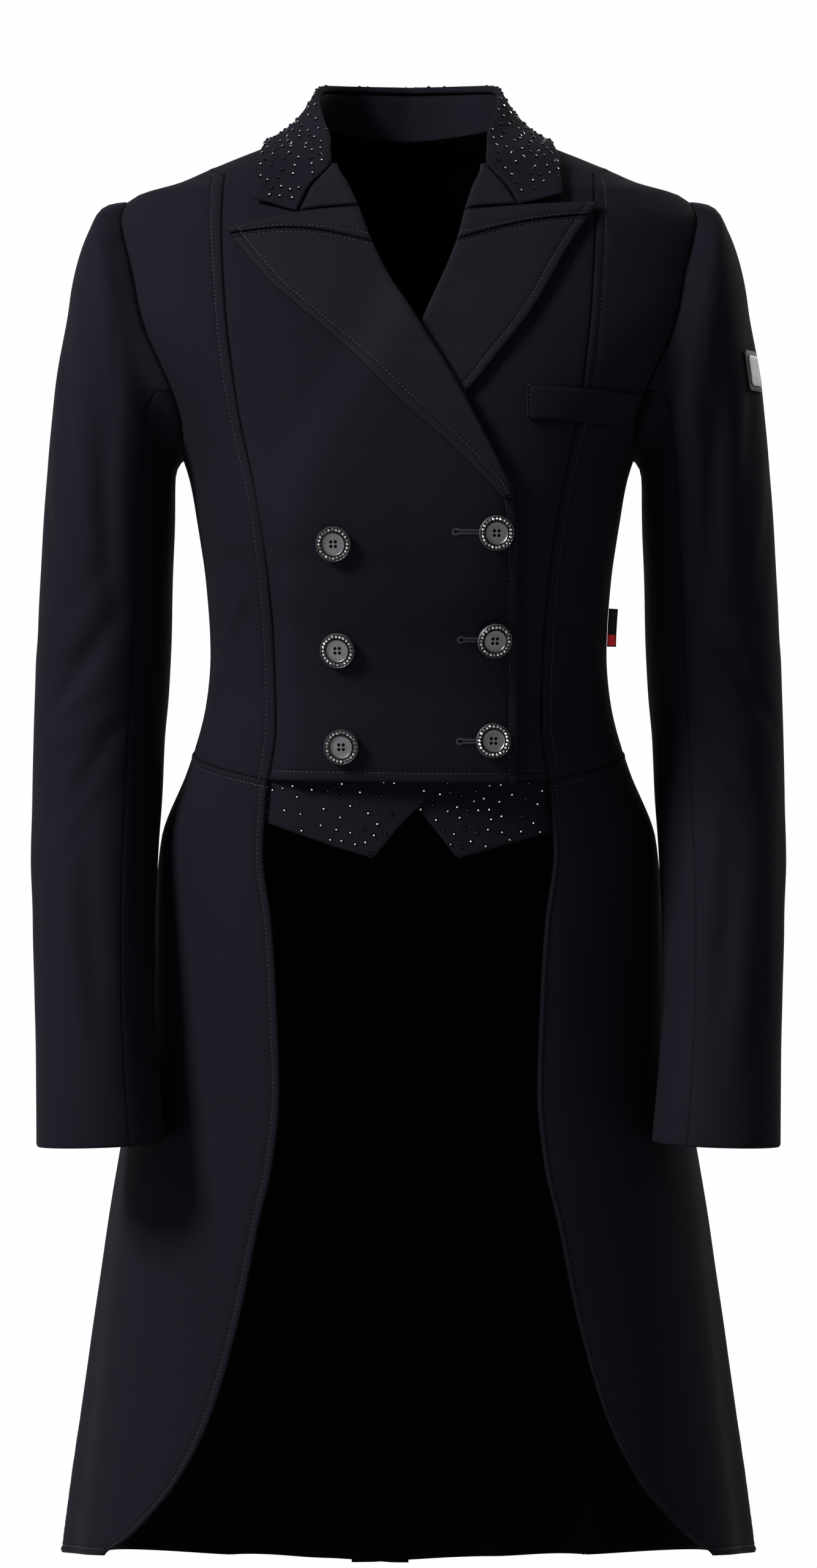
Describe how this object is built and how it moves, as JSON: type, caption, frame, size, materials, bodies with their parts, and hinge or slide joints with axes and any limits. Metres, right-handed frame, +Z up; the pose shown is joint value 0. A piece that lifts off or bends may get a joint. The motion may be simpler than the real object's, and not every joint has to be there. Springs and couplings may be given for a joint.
{
  "type": "shadbelly coat",
  "caption": "Double-breasted riding tailcoat with a cropped front, peaked lapels, false waistcoat points and long rounded tails, open at the neck, front and cuffs.",
  "frame": {"origin": "between the shoulders, level with the shoulder line at the neck, where the wearer's shoulders carry the coat", "axes": "+Z up, +X to the wearer's left, the front faces -Y"},
  "size_m": [0.512, 0.3538, 1.039],
  "materials": {
    "cloth": "matt black-navy stretch twill",
    "button_metal": "dark gunmetal",
    "black_trim": "black woven label cloth",
    "badge_plate": "plain silvery plate"
  },
  "bodies": {
    "root": {"back_left": "cloth", "back_right": "cloth", "button_1_left": "button_metal", "button_1_right": "button_metal", "button_2_left": "button_metal", "button_2_right": "button_metal", "button_3_left": "button_metal", "button_3_right": "button_metal", "collar": "cloth", "collar_stand": "cloth", "front_left": "cloth", "front_right": "cloth", "lapel_band_left": "cloth", "lapel_band_right": "cloth", "lapel_left": "cloth", "lapel_right": "cloth", "lapel_top_left": "cloth", "lapel_top_right": "cloth", "pocket_welt": "cloth", "side_back_left": "cloth", "side_back_right": "cloth", "side_front_left": "cloth", "side_front_right": "cloth", "side_label": "black_trim", "skirt_left": "cloth", "skirt_right": "cloth", "sleeve_badge": "black_trim", "sleeve_badge_plate": "badge_plate", "top_sleeve_left": "cloth", "top_sleeve_right": "cloth", "under_sleeve_left": "cloth", "under_sleeve_right": "cloth", "vest_point_left": "cloth", "vest_point_right": "cloth"}
  },
  "joints": []
}
